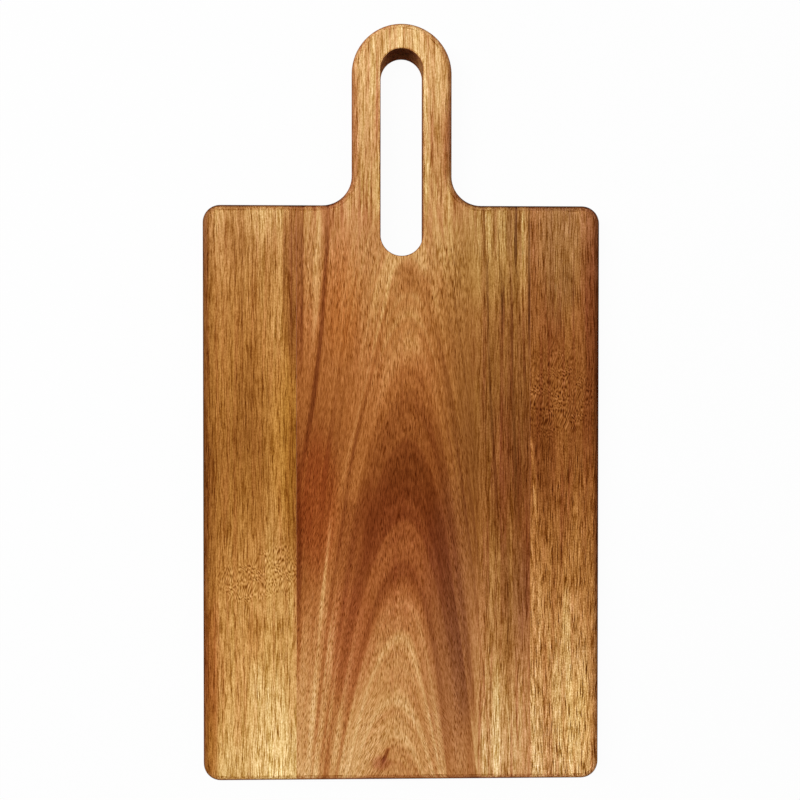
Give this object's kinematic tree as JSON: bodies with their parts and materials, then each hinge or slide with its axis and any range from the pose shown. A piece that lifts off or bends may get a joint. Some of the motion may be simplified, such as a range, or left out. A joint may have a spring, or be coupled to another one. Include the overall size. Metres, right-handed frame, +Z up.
{
  "type": "paddle serving board",
  "caption": "Flat paddle-shaped wooden serving board glued up from staves, with rounded edges and a slotted handle for carrying or hanging.",
  "frame": {"origin": "middle of the outline, on the underside that the board rests on", "axes": "+Y along the board toward the end of the handle, +X to the right across the staves, +Z up out of the serving face"},
  "size_m": [0.25, 0.477, 0.02],
  "materials": {
    "left_wood": "oiled satin",
    "centre_wood": "oiled satin",
    "right_wood": "oiled satin",
    "glue": "dried wood glue"
  },
  "bodies": {
    "root": {"left_stave": "left_wood", "centre_stave": "centre_wood", "right_stave": "right_wood", "left_glue_line": "glue", "right_glue_line": "glue"}
  },
  "joints": []
}
